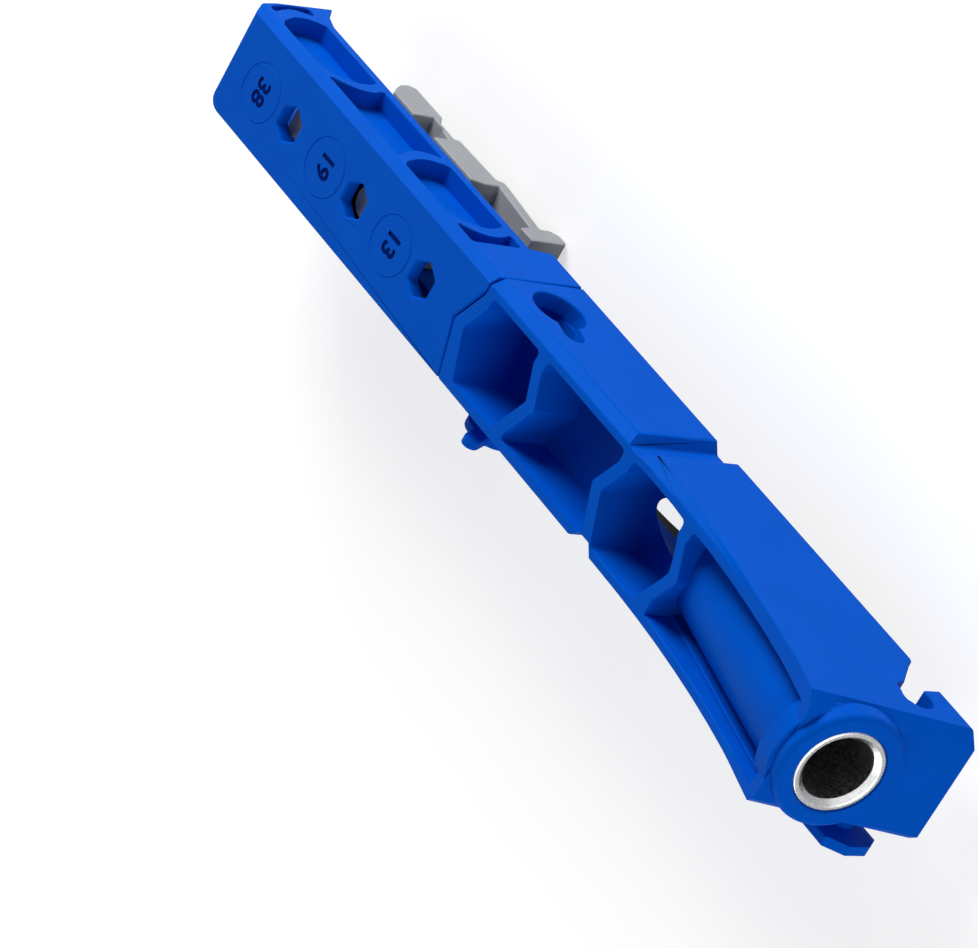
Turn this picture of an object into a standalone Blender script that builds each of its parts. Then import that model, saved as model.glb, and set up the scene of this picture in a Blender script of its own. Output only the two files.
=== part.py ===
"""Pocket hole jig: a moulded guide body with a steel drill guide tube, a gauge rail, and a
sliding thickness stop under the rail.

Axes: +X runs from the drill entry to the far end of the rail, -Y is the side with the keyhole,
and the work face, which lies on the board, is the plane z = 0. Lengths along X below are
measured from the entry edge of the work face, and the whole model then hangs on an empty that
puts the origin on the land of the work face beside the rail.
"""
import math

import bmesh
import bpy
from mathutils import Matrix, Vector

MM = 0.001
CLEAR = 0.3 * MM            # gap between neighbouring pieces
OVER = 2.0 * MM             # how far a cutter runs past a face
ROUND_STEPS = 64            # facets round the tube and the boss

# Guide body
WIDTH = 17.5 * MM
HEIGHT = 17.0 * MM          # work face to the flat top face
ORIGIN_X = 95.2 * MM        # the origin, on the land of the work face
SEAM_X = 97.4 * MM          # where the body's long sides meet the rail
SEAM_NOSE = 3.0 * MM        # how far the body's pointed end runs past the seam
FLARE_X = 55.0 * MM         # where the top starts to rise towards the boss
FLARE_RADIUS = 145.0 * MM
FLARE_STEPS = 9
TOP_CHAMFER = 1.9 * MM
TOP_CHAMFER_FADE = 6        # steps of the flare over which the chamfer dies out

# Drill axis
GUIDE_ANGLE = math.radians(15.0)
AXIS_REACH = 17.9 * MM      # from the entry edge up the slanted end face to the drill axis
BIT_RADIUS = 4.8 * MM       # bore of the steel tube, for a 9.5 mm stepped bit
TUBE_RADIUS = 6.35 * MM
TUBE_LENGTH = 40.0 * MM
TUBE_SUNK = 0.15 * MM       # end of the tube behind the face of the boss
TUBE_MOUTH = 0.75 * MM      # chamfer at the mouth of the bore
TUBE_EDGE = 0.25 * MM
TUBE_FIT = 0.25 * MM        # gap round the tube
RUNOUT_RADIUS = 5.1 * MM    # the drill's way on through the plastic
BOSS_RADIUS = 8.85 * MM
BOSS_PROUD = 1.8 * MM
BOSS_DEPTH = 1.5 * MM       # how far the boss runs back behind the end face
BOSS_EDGE = 0.5 * MM
HOOD_RADIUS = 9.45 * MM     # the arch behind the boss
HOOD_START = 0.25 * MM
HOOD_END = 3.6 * MM
HOUSING_RADIUS = 7.75 * MM
TUBE_START = TUBE_SUNK - BOSS_PROUD
SEAT_END = TUBE_START + TUBE_LENGTH + CLEAR

# Pockets in the top face, between V-shaped ribs
NEAR_WALL = 2.35 * MM           # wall of the keyhole side
FAR_WALL = 1.35 * MM            # wall of the tab side
POCKET_NEAR_SIDE = NEAR_WALL - WIDTH / 2
POCKET_FAR_SIDE = WIDTH / 2 - FAR_WALL
POCKET_POINT_Y = 0.4 * MM
POCKET_FLAT_Y = -4.5 * MM
POCKET_SLOPE = 0.47             # how fast the ribs lean, along X for each unit of Y
POCKET_ROUND = 0.7 * MM
RIB = 2.2 * MM
POCKET_POINTS = (97.9 * MM, 80.9 * MM, 61.2 * MM, 43.5 * MM)
KEYHOLE_POCKET_FLOOR = 5.4 * MM
MIDDLE_POCKET_FLOOR = 8.7 * MM
DRILL_POCKET_FLOOR = 8.0 * MM
LONG_POCKET_START = 8.8 * MM
LEDGE_HEIGHT = 5.6 * MM         # ledge in the long pocket, above the drill axis
LEDGE_WIDTH = 0.45 * MM
END_CORNER = 0.5                # the tab side's end corner, as a part of the top chamfer

# Groove across both long sides
GROOVE_X = 59.7 * MM
GROOVE_WIDTH = 5.2 * MM
GROOVE_FLOOR = 2.4 * MM
GROOVE_WALL = 0.9 * MM      # what is left between a groove and the insert's seat
INSERT_BORE = 5.5 * MM      # the drill's way through the insert
INSERT_STRIP = 0.55 * MM    # insert beside that way, at the grooves
GROOVE_DEPTH = WIDTH / 2 - GROOVE_WALL - CLEAR - INSERT_BORE - INSERT_STRIP

# Cells in the work face beside the end face, which take a neighbour's tab
CELL_WALL = 3.4 * MM
CELL_END = 14.4 * MM
CELL_HEIGHT = 11.0 * MM
CELL_RIB = 1.2 * MM
CELL_SIDE_WALL = 3.0 * MM
CELL_FAR_WALL = 1.4 * MM
END_WALL_X = 1.6 * MM

# Slot and tab that link two units at the drill end
LINK_X = 7.9 * MM
LINK_Z = 5.4 * MM
LINK_PLAY = 0.45 * MM
SLOT_RADIUS = 2.35 * MM
SLOT_MOUTH_START = 9.5 * MM
SLOT_MOUTH_END = 15.4 * MM
SLOT_LEAD = 0.6 * MM        # lead-in at the far side of the mouth
SLOT_SLANT_FOOT = 0.6 * MM
SLOT_SLANT_TOP = 5.2 * MM
SLOT_WAIST = 3.3 * MM       # from the middle of the round end to the slanted side's top
TAB_STEM_RADIUS = SLOT_RADIUS - LINK_PLAY
TAB_STEM = 3.0 * MM
TAB_THICK = 1.5 * MM
TAB_LENGTH = 11.8 * MM
TAB_HEIGHT = 9.8 * MM
TAB_CORNER_X = 2.1 * MM
TAB_CORNER_Z = 3.0 * MM
TAB_OFFSET = 0.5 * MM       # middle of the head from the stem, along X and up
TAB_RAMP_HEIGHT = 3.2 * MM  # below this the head's inner face leans away
TAB_RAMP_DEPTH = 0.7 * MM

# Keyhole and peg that link two units at the rail end
PEG_X = 90.9 * MM
PEG_Z = 9.2 * MM
KEYHOLE_RADIUS = 4.2 * MM
KEYHOLE_WING = 3.4 * MM     # width of the keyhole's wing
KEYHOLE_REACH = 8.1 * MM    # from the middle of the keyhole to the wing's tip
KEYHOLE_TURN = math.radians(-15.0)
KEYHOLE_PLAY = 0.4 * MM
PEG_RADIUS = 3.1 * MM
PEG_STEM = 2.9 * MM
PEG_THICK = 1.5 * MM
PEG_TURN = math.radians(-62.0)

# Insert in the work face
INSERT_START = 15.4 * MM
INSERT_CORNER = 22.5 * MM
INSERT_CORNER_Y = 2.5 * MM
INSERT_END = 92.6 * MM
INSERT_LAND = 1.25 * MM     # strip of the work face beside the insert
INSERT_HALF = WIDTH / 2 - INSERT_LAND
INSERT_THICK = 1.5 * MM
INSERT_CELL = 0.9 * MM
INSERT_RIM = 1.4 * MM
INSERT_END_CELL = 7.5 * MM
CORNER_CELL_X = (12.0 * MM, 17.0 * MM, 25.0 * MM)   # corners of the three-sided cells, from the insert's end
CORNER_CELL_Y = 2.2 * MM
CORNER_CELL_SHIFT = 5.0 * MM

# Rail
RAIL_END = 166.2 * MM
RAIL_END_FOOT = 169.1 * MM
RAIL_FOOT = 4.1 * MM        # lower edge of the rail's sides above the work face
RAIL_STEP = 105.9 * MM      # the sides reach down to the work face before this
RAIL_LIP_START = 163.2 * MM
RAIL_LIP_FOOT = 0.8 * MM
RAIL_CORNER = 1.9 * MM      # round of the far corner of the rail's end
RAIL_PLATE = 2.2 * MM
CHANNEL_START = 102.4 * MM
CHANNEL_NEAR_WALL = 4.55 * MM
CHANNEL_FAR_WALL = 2.15 * MM
CHANNEL_NEAR = CHANNEL_NEAR_WALL - WIDTH / 2
CHANNEL_FAR = WIDTH / 2 - CHANNEL_FAR_WALL
GUIDE_LOW = 6.9 * MM
GUIDE_HIGH = 9.3 * MM
GUIDE_DEPTH = 0.8 * MM
TONGUE_LENGTH = 3.6 * MM
TONGUE_LOW = 2.6 * MM
TONGUE_HIGH = 4.2 * MM
TONGUE_WALL = 3.55 * MM
TONGUE_HALF = WIDTH / 2 - TONGUE_WALL

# Setting windows and the stop's travel
PITCH = 19.4 * MM
WINDOW_X = 129.0 * MM       # the middle window
WINDOW_Y = 0.6 * MM
WINDOW_FLATS = 5.1 * MM

# Pockets in the rail's near side: x at the foot, the middle and the top of each end
RAIL_POCKET_LOW = 5.8 * MM
RAIL_POCKET_HIGH = 15.2 * MM
RAIL_POCKET_DEPTH = 2.75 * MM
RAIL_RIBS = (
    (110.5 * MM, 109.4 * MM, 112.1 * MM),
    (127.3 * MM, 128.4 * MM, 126.1 * MM),
    (146.8 * MM, 146.1 * MM, 149.1 * MM),
    (164.1 * MM, 165.4 * MM, 162.4 * MM),
)
RAIL_RIB = 2.1 * MM
RAIL_FIRST_POCKET = 106.2 * MM
END_POCKET_NEAR = (165.6 * MM, 166.5 * MM, 164.9 * MM)
END_POCKET_FAR = (167.6 * MM, 167.5 * MM, 166.2 * MM)
END_POCKET_LOW = 6.4 * MM
END_POCKET_HIGH = 14.8 * MM
CURVE_STEPS = 8

# Thickness stop, in its middle setting
STOP_FENCE_X = 111.0 * MM
STOP_END = 151.3 * MM
STOP_INSET = 1.25 * MM
STOP_HALF = WIDTH / 2 - STOP_INSET
STOP_BLOCK = 1.0 * MM       # top of the raised blocks
BLOCK_START = 125.2 * MM
BLOCK_LEAN = 0.8 * MM       # clears the rail's step at the near end of the travel
FLANGE_TOP = -2.6 * MM      # plate between fence and block, at the fence
FLANGE_DROP = 1.3 * MM
FLANGE_THICK = 1.9 * MM
BLOCK_SOLE = -4.6 * MM
NOTCH_START = 137.0 * MM
NOTCH_END = 142.8 * MM
NOTCH_TOP = -1.8 * MM       # plate in the notch, at its near end
NOTCH_DROP = 1.2 * MM
NOTCH_SOLE = -3.2 * MM
NOTCH_DEPTH = 3.0 * MM
HOLLOW_LENGTH = 3.2 * MM    # cored pockets in front of the two blocks
HOLLOW_REACH = 1.0 * MM     # how far past the middle they run
FAR_SOLE = -4.85 * MM
FENCE_THICK = 3.6 * MM
FENCE_FOOT = -7.6 * MM
FENCE_TOP = -0.5 * MM
CARRIER_START = 122.3 * MM
CARRIER_TOP = 11.6 * MM
BUTTON_RADIUS = 2.7 * MM
BUTTON_TOP = 14.4 * MM
PAD_LENGTH = 5.2 * MM

BLUE = (0.0, 0.09, 0.52, 1.0)
STEEL = (0.76, 0.77, 0.77, 1.0)
BLACK = (0.012, 0.011, 0.011, 1.0)
GREY = (0.47, 0.49, 0.48, 1.0)


def clear_scene():
    for item in list(bpy.data.objects):
        bpy.data.objects.remove(item, do_unlink=True)
    for group in list(bpy.data.collections):
        bpy.data.collections.remove(group)


def new_collection(name):
    group = bpy.data.collections.new(name)
    bpy.context.scene.collection.children.link(group)
    return group


def material(name, colour, roughness, metallic=0.0):
    made = bpy.data.materials.new(name)
    made.use_nodes = True
    shader = made.node_tree.nodes["Principled BSDF"]
    shader.inputs["Base Color"].default_value = colour
    shader.inputs["Roughness"].default_value = roughness
    shader.inputs["Metallic"].default_value = metallic
    made.diffuse_color = colour
    return made


def axis_point(along):
    """A point of the drill axis, measured from the slanted end face."""
    foot = Vector((math.sin(GUIDE_ANGLE), 0.0, math.cos(GUIDE_ANGLE))) * AXIS_REACH
    return foot + Vector((math.cos(GUIDE_ANGLE), 0.0, -math.sin(GUIDE_ANGLE))) * along


def axis_height(x):
    foot = axis_point(0.0)
    return foot.z - (x - foot.x) * math.tan(GUIDE_ANGLE)


def rounded(outline, radius, steps=4):
    """The outline with each corner turned into an arc that touches both its sides."""
    points = []
    count = len(outline)
    for index in range(count):
        corner = Vector(outline[index])
        before = Vector(outline[index - 1]) - corner
        after = Vector(outline[(index + 1) % count]) - corner
        angle = before.angle(after)
        reach = min(radius / math.tan(angle / 2), before.length * 0.45, after.length * 0.45)
        bow = reach * math.tan(angle / 2)
        middle = (before.normalized() + after.normalized()).normalized()
        centre = corner + middle * (reach / math.cos(angle / 2))
        start = corner + before.normalized() * reach - centre
        turn = math.pi - angle
        side = 1.0 if before.cross(after) < 0 else -1.0
        for step in range(steps + 1):
            spun = Matrix.Rotation(side * turn * step / steps, 2) @ start
            points.append(tuple(centre + spun.normalized() * bow))
    return points


def ring(centre, radius, start, end, steps):
    """Points on an arc, angles in degrees."""
    return [
        (
            centre[0] + radius * math.cos(math.radians(start + (end - start) * step / steps)),
            centre[1] + radius * math.sin(math.radians(start + (end - start) * step / steps)),
        )
        for step in range(steps + 1)
    ]


def add_object(name, mesh, group):
    made = bpy.data.objects.new(name, mesh)
    group.objects.link(made)
    return made


def tidy_mesh(mesh):
    form = bmesh.new()
    form.from_mesh(mesh)
    bmesh.ops.remove_doubles(form, verts=form.verts, dist=1e-6)
    bmesh.ops.dissolve_limit(form, angle_limit=0.001, verts=form.verts, edges=form.edges)
    bmesh.ops.recalc_face_normals(form, faces=form.faces)
    form.to_mesh(mesh)
    form.free()


PLANES = {
    "XY": Matrix.Identity(4),
    "XZ": Matrix(((1, 0, 0, 0), (0, 0, -1, 0), (0, 1, 0, 0), (0, 0, 0, 1))),
    "YZ": Matrix(((0, 0, 1, 0), (1, 0, 0, 0), (0, 1, 0, 0), (0, 0, 0, 1))),
}
NORMALS = {"XY": Vector((0, 0, 1)), "XZ": Vector((0, 1, 0)), "YZ": Vector((1, 0, 0))}


def prism(name, outline, low, high, plane, group):
    """A flat outline in the named plane, as thick as low to high across it."""
    curve = bpy.data.curves.new(name, "CURVE")
    curve.dimensions = "2D"
    curve.fill_mode = "BOTH"
    curve.extrude = (high - low) / 2
    spline = curve.splines.new("POLY")
    spline.points.add(len(outline) - 1)
    for point, place in zip(spline.points, outline):
        point.co = (place[0], place[1], 0.0, 1.0)
    spline.use_cyclic_u = True
    flat = bpy.data.objects.new(name + "_outline", curve)
    bpy.context.scene.collection.objects.link(flat)
    bpy.context.view_layer.update()
    seen = flat.evaluated_get(bpy.context.evaluated_depsgraph_get())
    mesh = bpy.data.meshes.new_from_object(seen)
    bpy.data.objects.remove(flat, do_unlink=True)
    mesh.name = name
    mesh.transform(Matrix.Translation(NORMALS[plane] * (low + high) / 2) @ PLANES[plane])
    tidy_mesh(mesh)
    return add_object(name, mesh, group)


def box(name, low, high, group):
    form = bmesh.new()
    bmesh.ops.create_cube(form, size=1.0)
    size = Vector(high) - Vector(low)
    bmesh.ops.scale(form, vec=size, verts=form.verts)
    mesh = bpy.data.meshes.new(name)
    form.to_mesh(mesh)
    form.free()
    made = add_object(name, mesh, group)
    made.location = (Vector(low) + Vector(high)) / 2
    return made


def drill_cylinder(name, radius, start, end, group, steps=ROUND_STEPS):
    """A cylinder on the drill axis."""
    form = bmesh.new()
    bmesh.ops.create_cone(
        form, cap_ends=True, segments=steps, radius1=radius, radius2=radius, depth=end - start
    )
    mesh = bpy.data.meshes.new(name)
    form.to_mesh(mesh)
    form.free()
    made = add_object(name, mesh, group)
    made.location = axis_point((start + end) / 2)
    made.rotation_euler = (0.0, math.pi / 2 + GUIDE_ANGLE, 0.0)
    return made


def side_cylinder(name, x, z, radius, low, high, group, steps=32):
    """A cylinder across the body."""
    form = bmesh.new()
    bmesh.ops.create_cone(
        form, cap_ends=True, segments=steps, radius1=radius, radius2=radius, depth=high - low
    )
    mesh = bpy.data.meshes.new(name)
    form.to_mesh(mesh)
    form.free()
    made = add_object(name, mesh, group)
    made.location = (x, (low + high) / 2, z)
    made.rotation_euler = (math.pi / 2, 0.0, 0.0)
    return made


def combine(target, other, operation):
    step = target.modifiers.new(operation.lower() + "_" + other.name, "BOOLEAN")
    step.operation = operation
    step.object = other
    step.solver = "EXACT"


def cut(target, *others):
    for other in others:
        combine(target, other, "DIFFERENCE")


def join(target, *others):
    for other in others:
        combine(target, other, "UNION")


def keep(target, other):
    combine(target, other, "INTERSECT")


def weigh_edges(mesh, weight_of, weights="bevel_weight_edge"):
    """Sets each edge's bevel weight from the middle of the edge and its two faces' normals."""
    form = bmesh.new()
    form.from_mesh(mesh)
    layer = form.edges.layers.float.new(weights)
    for edge in form.edges:
        if len(edge.link_faces) == 2:
            middle = (edge.verts[0].co + edge.verts[1].co) / 2
            edge[layer] = weight_of(middle, [face.normal for face in edge.link_faces])
    form.to_mesh(mesh)
    form.free()


def bevel(target, width, segments=1, limit="WEIGHT", weights="bevel_weight_edge"):
    step = target.modifiers.new("edges", "BEVEL")
    step.edge_weight = weights
    step.width = width
    step.segments = segments
    step.limit_method = limit
    step.use_clamp_overlap = True
    return step


def flare_height(x):
    """The top face at x: flat, then an arc that rises to the boss."""
    if x >= FLARE_X:
        return HEIGHT
    return HEIGHT + FLARE_RADIUS - math.sqrt(FLARE_RADIUS ** 2 - (FLARE_X - x) ** 2)


def flare_end():
    """Where the arc of the top meets the slanted end face."""
    x = 0.0
    for _ in range(30):
        x = flare_height(x) * math.tan(GUIDE_ANGLE)
    return x


def flare_points():
    first = flare_end()
    return [
        (FLARE_X + (first - FLARE_X) * step / FLARE_STEPS,
         flare_height(FLARE_X + (first - FLARE_X) * step / FLARE_STEPS))
        for step in range(FLARE_STEPS + 1)
    ]


def nose_outline(gap=0.0):
    """The body's far end in plan: a blunt V that the rail fits round."""
    far = SEAM_X + gap
    return [
        (far, -WIDTH / 2 - OVER),
        (far, POCKET_FLAT_Y - 1.2 * MM),
        (far + SEAM_NOSE, POCKET_POINT_Y),
        (far, WIDTH / 2 - 0.4 * MM),
        (far, WIDTH / 2 + OVER),
    ]


def v_front(point):
    """A pocket end that points to +X, from the near side to the tab side."""
    near = (POCKET_POINT_Y - POCKET_FLAT_Y) * POCKET_SLOPE
    far = (POCKET_FAR_SIDE - POCKET_POINT_Y) * POCKET_SLOPE
    return [
        (point - near, POCKET_NEAR_SIDE),
        (point - near, POCKET_FLAT_Y),
        (point, POCKET_POINT_Y),
        (point - far, POCKET_FAR_SIDE),
    ]


def v_back(point):
    """A pocket end that points to -X, from the tab side to the near side."""
    return [(2 * point - x, y) for x, y in reversed(v_front(point))]


def pocket_outlines():
    keyhole, middle, drill, long_one = POCKET_POINTS
    first = v_front(keyhole) + v_back(middle)
    second = list(reversed(v_back(middle - RIB))) + list(reversed(v_front(drill + RIB)))
    third = v_front(drill) + v_back(long_one)
    fourth = list(reversed(v_back(long_one - RIB))) + [
        (LONG_POCKET_START, POCKET_FAR_SIDE),
        (LONG_POCKET_START, POCKET_NEAR_SIDE),
    ]
    return first, second, third, fourth


def base_block(name, group):
    top = flare_points()
    outline = [(0.0, 0.0), (SEAM_X + SEAM_NOSE + OVER, 0.0), (SEAM_X + SEAM_NOSE + OVER, HEIGHT)]
    block = prism(name, outline + top, -WIDTH / 2, WIDTH / 2, "XZ", group)
    step = (FLARE_X - top[-1][0]) / FLARE_STEPS

    def weight_of(middle, normals):
        if abs(middle.y - WIDTH / 2) < 1e-5:
            return END_CORNER if any(normal.x < -0.7 for normal in normals) else 0.0
        if abs(middle.y + WIDTH / 2) > 1e-5:
            return 0.0
        if any(normal.z > 0.7 for normal in normals):
            steps_in = max(0.0, (FLARE_X - middle.x) / step)
            return max(0.0, 1.0 - steps_in / TOP_CHAMFER_FADE)
        if any(normal.x < -0.7 for normal in normals):
            return 1.0
        return 0.0

    weigh_edges(block.data, weight_of)
    bevel(block, TOP_CHAMFER)
    return block


def slot_outline():
    """The link slot in the near side: from its mouth in the work face up to a round end."""
    slant_x = LINK_X + SLOT_WAIST
    return (
        [(SLOT_MOUTH_START, -OVER), (SLOT_MOUTH_END + SLOT_LEAD, -OVER), (SLOT_MOUTH_END + SLOT_LEAD, 0.0)]
        + [(SLOT_MOUTH_END, SLOT_LEAD / 2), (SLOT_MOUTH_END - SLOT_SLANT_FOOT, SLOT_SLANT_FOOT * 2)]
        + [(slant_x, SLOT_SLANT_TOP), (slant_x - 0.6 * MM, LINK_Z + SLOT_RADIUS * 0.75)]
        + ring((LINK_X, LINK_Z), SLOT_RADIUS, 55, 262, 14)
        + [(SLOT_MOUTH_START, LINK_Z - SLOT_RADIUS)]
    )


def groove_outline(side):
    """The groove in plan on one long side, side being -1 or 1."""
    wall = side * WIDTH / 2
    floor = wall - side * GROOVE_DEPTH
    half = GROOVE_WIDTH / 2
    return [
        (GROOVE_X - half, wall + side * OVER),
        (GROOVE_X - half, wall),
        (GROOVE_X - GROOVE_FLOOR / 2, floor),
        (GROOVE_X + GROOVE_FLOOR / 2, floor),
        (GROOVE_X + half, wall),
        (GROOVE_X + half, wall + side * OVER),
    ]


def insert_outline(gap=0.0):
    """The insert in plan, with a notch behind each groove; the gap makes its seat."""
    edge = INSERT_HALF + gap
    waist = WIDTH / 2 - GROOVE_DEPTH - GROOVE_WALL - CLEAR + gap
    mouth = GROOVE_WIDTH / 2 + GROOVE_WALL - gap
    foot = GROOVE_FLOOR / 2 + GROOVE_WALL - gap
    notch = [(-mouth, edge), (-foot, waist), (foot, waist), (mouth, edge)]
    return (
        [(INSERT_START - gap, edge), (INSERT_START - gap, INSERT_CORNER_Y), (INSERT_CORNER - gap, -edge)]
        + [(GROOVE_X + x, -y) for x, y in notch]
        + [(INSERT_END + gap, -edge), (INSERT_END + gap, edge)]
        + [(GROOVE_X + x, y) for x, y in reversed(notch)]
    )


def guide_body(group, tools, paint):
    body = base_block("guide_body", group)
    keep(body, prism("nose", [(-OVER * 4, WIDTH), (-OVER * 4, -WIDTH)] + nose_outline(),
                     -OVER, HEIGHT * 2, "XY", tools))

    high = HEIGHT * 2
    first, second, third, fourth = pocket_outlines()
    cut(
        body,
        prism("keyhole_pocket", rounded(first, POCKET_ROUND), KEYHOLE_POCKET_FLOOR, high, "XY", tools),
        prism("middle_pocket", rounded(second, POCKET_ROUND), MIDDLE_POCKET_FLOOR, high, "XY", tools),
        prism("drill_pocket", rounded(third, POCKET_ROUND), DRILL_POCKET_FLOOR, high, "XY", tools),
    )
    long_pocket = prism("long_pocket", rounded(fourth, POCKET_ROUND), 0.0, high, "XY", tools)
    keep(long_pocket, prism(
        "above_axis",
        [(0.0, axis_height(0.0)), (POCKET_POINTS[3], axis_height(POCKET_POINTS[3])),
         (POCKET_POINTS[3], high + OVER), (0.0, high + OVER)],
        -WIDTH, WIDTH, "XZ", tools,
    ))
    ledge = axis_height(0.0) + LEDGE_HEIGHT / math.cos(GUIDE_ANGLE)
    drop = POCKET_POINTS[3] * math.tan(GUIDE_ANGLE)
    cut(long_pocket, prism(
        "ledge", [(0.0, 0.0), (POCKET_POINTS[3], 0.0), (POCKET_POINTS[3], ledge - drop), (0.0, ledge)],
        POCKET_FAR_SIDE - LEDGE_WIDTH, POCKET_FAR_SIDE + OVER, "XZ", tools,
    ))
    cut(body, long_pocket)

    lean = math.tan(GUIDE_ANGLE)
    cell = [(CELL_WALL - lean * OVER, -OVER), (CELL_END, -OVER), (CELL_END, CELL_HEIGHT),
            (CELL_WALL + lean * CELL_HEIGHT, CELL_HEIGHT)]
    cut(
        body,
        prism("near_cell", cell, -WIDTH / 2 + CELL_SIDE_WALL, -CELL_RIB / 2, "XZ", tools),
        prism("far_cell", cell, CELL_RIB / 2, WIDTH / 2 - CELL_FAR_WALL, "XZ", tools),
    )

    housing = drill_cylinder("housing", HOUSING_RADIUS, 0.5 * MM, TUBE_LENGTH + 4 * MM, tools)
    keep(housing, box("above_work_face", (0.0, -WIDTH, 1.0 * MM),
                      (POCKET_POINTS[3] + 1.0 * MM, WIDTH, high), tools))
    boss = drill_cylinder("boss", BOSS_RADIUS, -BOSS_PROUD, BOSS_DEPTH, tools)
    bevel(boss, BOSS_EDGE, 1, "ANGLE")
    keep(boss, box("above_sole", (-4 * OVER, -WIDTH, OVER), (FLARE_X, WIDTH, high), tools))
    hood = drill_cylinder("hood", HOOD_RADIUS, HOOD_START, HOOD_END, tools)
    keep(hood, box("hood_room", (0.0, TOP_CHAMFER - WIDTH / 2, axis_height(0.0)),
                   (FLARE_X, WIDTH / 2 - END_CORNER * TOP_CHAMFER, high), tools))
    join(body, housing, hood, boss)

    cut(
        body,
        drill_cylinder("tube_seat", TUBE_RADIUS + TUBE_FIT, -BOSS_PROUD - OVER, SEAT_END, tools),
        drill_cylinder("runout", RUNOUT_RADIUS, TUBE_LENGTH - 2 * OVER,
                       AXIS_REACH / math.tan(GUIDE_ANGLE) + 30 * MM, tools),
    )

    near = -WIDTH / 2
    cut(
        body,
        prism("link_slot", slot_outline(), near - OVER, near + CELL_SIDE_WALL + OVER / 2, "XZ", tools),
        prism("keyhole", wing_outline(KEYHOLE_RADIUS, KEYHOLE_WING, KEYHOLE_REACH, KEYHOLE_TURN),
              near - OVER, POCKET_NEAR_SIDE + CLEAR, "XZ", tools),
        prism("near_groove", groove_outline(-1), -OVER, high, "XY", tools),
        prism("far_groove", groove_outline(1), -OVER, high, "XY", tools),
        prism("insert_seat", insert_outline(CLEAR), -OVER, INSERT_THICK + CLEAR, "XY", tools),
        box("tongue_socket",
            (SEAM_X - TONGUE_LENGTH - CLEAR, -TONGUE_HALF - CLEAR, TONGUE_LOW - CLEAR),
            (SEAM_X + SEAM_NOSE + OVER, TONGUE_HALF + CLEAR, TONGUE_HIGH + CLEAR), tools),
    )

    far = WIDTH / 2
    tab = prism("tab_head", tab_outline(), far + TAB_STEM, far + TAB_STEM + TAB_THICK, "XZ", tools)
    inner = far + TAB_STEM
    cut(tab, prism(
        "tab_ramp",
        [(inner - OVER, TAB_RAMP_HEIGHT), (inner, TAB_RAMP_HEIGHT), (inner + TAB_RAMP_DEPTH, 0.0),
         (inner + TAB_RAMP_DEPTH, -OVER), (inner - OVER, -OVER)],
        -OVER, LINK_X + TAB_LENGTH, "YZ", tools,
    ))
    stem = side_cylinder("tab_stem", LINK_X, LINK_Z, TAB_STEM_RADIUS, far - 0.7 * MM,
                         far + TAB_STEM + TAB_THICK / 2, tools, 24)
    peg = prism("peg_head", wing_outline(KEYHOLE_RADIUS - KEYHOLE_PLAY, KEYHOLE_WING - 2 * KEYHOLE_PLAY,
                                         KEYHOLE_REACH - KEYHOLE_PLAY, PEG_TURN),
                far + PEG_STEM, far + PEG_STEM + PEG_THICK, "XZ", tools)
    peg_stem = side_cylinder("peg_stem", PEG_X, PEG_Z, PEG_RADIUS, far - 0.7 * MM,
                             far + PEG_STEM + PEG_THICK / 2, tools)
    join(body, stem, tab, peg_stem, peg)
    body.data.materials.append(paint)
    return body


def tab_outline():
    """The link tab's head: a plate with its corners cut off."""
    middle = (LINK_X + TAB_OFFSET, LINK_Z + TAB_OFFSET)
    half_x = TAB_LENGTH / 2
    half_z = TAB_HEIGHT / 2
    corner = [(half_x, half_z - TAB_CORNER_Z), (half_x - TAB_CORNER_X, half_z)]
    points = corner + [(-x, z) for x, z in reversed(corner)]
    points += [(-x, -z) for x, z in points]
    return [(middle[0] + x, middle[1] + z) for x, z in points]


def wing_outline(radius, width, reach, turn):
    """The keyhole or the head of its peg: a circle with one wing, which points to -X and is turned."""
    middle = Vector((PEG_X, PEG_Z))
    open_angle = math.degrees(math.asin(width / 2 / radius))
    points = ring((0.0, 0.0), radius, open_angle - 180, 180 - open_angle, 22)
    points += ring((width / 2 - reach, 0.0), width / 2, 90, 270, 8)
    spin = Matrix.Rotation(turn, 2)
    return [tuple(middle + spin @ Vector(point)) for point in points]


def drill_tube(group, paint):
    """The hardened tube that guides the bit: a profile turned about its axis."""
    outer = TUBE_RADIUS
    profile = [
        (outer, 0.0 + TUBE_EDGE),
        (outer, TUBE_LENGTH - TUBE_EDGE),
        (outer - TUBE_EDGE, TUBE_LENGTH),
        (BIT_RADIUS, TUBE_LENGTH),
        (BIT_RADIUS, TUBE_MOUTH),
        (BIT_RADIUS + TUBE_MOUTH, 0.0),
        (outer - TUBE_EDGE, 0.0),
    ]
    mesh = bpy.data.meshes.new("drill_guide_tube")
    count = len(profile)
    mesh.from_pydata(
        [(radius, 0.0, -along) for radius, along in profile],
        [(index, (index + 1) % count) for index in range(count)],
        [],
    )
    tube = add_object("drill_guide_tube", mesh, group)
    turn = tube.modifiers.new("turned", "SCREW")
    turn.angle = 2 * math.pi
    turn.steps = ROUND_STEPS
    turn.render_steps = ROUND_STEPS
    turn.use_merge_vertices = True
    turn.merge_threshold = 0.00001
    turn.use_normal_calculate = True
    tube.location = axis_point(TUBE_START)
    tube.rotation_euler = (0.0, GUIDE_ANGLE - math.pi / 2, 0.0)
    mesh.materials.append(paint)
    return tube


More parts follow.
